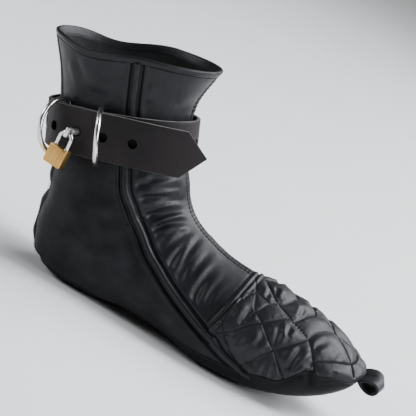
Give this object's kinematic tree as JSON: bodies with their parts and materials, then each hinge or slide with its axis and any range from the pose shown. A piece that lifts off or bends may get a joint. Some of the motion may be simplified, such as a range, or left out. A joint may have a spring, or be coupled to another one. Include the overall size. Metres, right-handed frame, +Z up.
{
  "type": "bondage boot",
  "caption": "Soft black leather ankle boot with a quilted toe, raised side strips, a flared collar and a lockable holed ankle strap with D-rings and a padlock.",
  "frame": {"origin": "on the floor under the heel, on the boot's middle plane", "axes": "+X towards the toe, +Y towards the wearer's left, +Z up"},
  "size_m": [0.3711, 0.1482, 0.2117],
  "materials": {
    "nappa": "soft black nappa, semi-gloss",
    "sole_leather": "smooth black sole leather",
    "lining": "matte lining leather",
    "strap_leather": "thick matte strap leather",
    "steel": "bright nickel plate",
    "brass": "brushed brass"
  },
  "bodies": {
    "boot": {"sole": "sole_leather", "insole": "lining", "upper": "nappa", "toe_panel": "nappa", "side_strip_right": "nappa", "side_strip_left": "nappa", "back_strip": "nappa", "toe_loop": "nappa", "strap": "strap_leather", "lock_post": "steel"},
    "d_ring_right": {"d_ring_right": "steel"},
    "d_ring_back": {"d_ring_back": "steel"},
    "d_ring_left": {"d_ring_left": "steel"},
    "padlock": {"padlock_body": "brass", "padlock_shackle": "steel"}
  },
  "joints": [
    {"name": "d_ring_right_swing", "type": "hinge", "parent": "boot", "child": "d_ring_right", "pos_m": [-0.02631, -0.04318, 0.12817], "axis": [-0.357, 0, 0.9341], "range_deg": [-40, 30]},
    {"name": "d_ring_back_swing", "type": "hinge", "parent": "boot", "child": "d_ring_back", "pos_m": [-0.05494, -0.03217, 0.11877], "axis": [-0.357, 0, 0.9341], "range_deg": [-55, 3]},
    {"name": "d_ring_left_swing", "type": "hinge", "parent": "boot", "child": "d_ring_left", "pos_m": [-0.03273, 0.04212, 0.12606], "axis": [-0.357, 0, 0.9341], "range_deg": [-60, 70]},
    {"name": "padlock_swing", "type": "hinge", "parent": "boot", "child": "padlock", "pos_m": [-0.04681, -0.05809, 0.12112], "axis": [-0.9514, 0.308, 0], "range_deg": [-10, 75]}
  ]
}
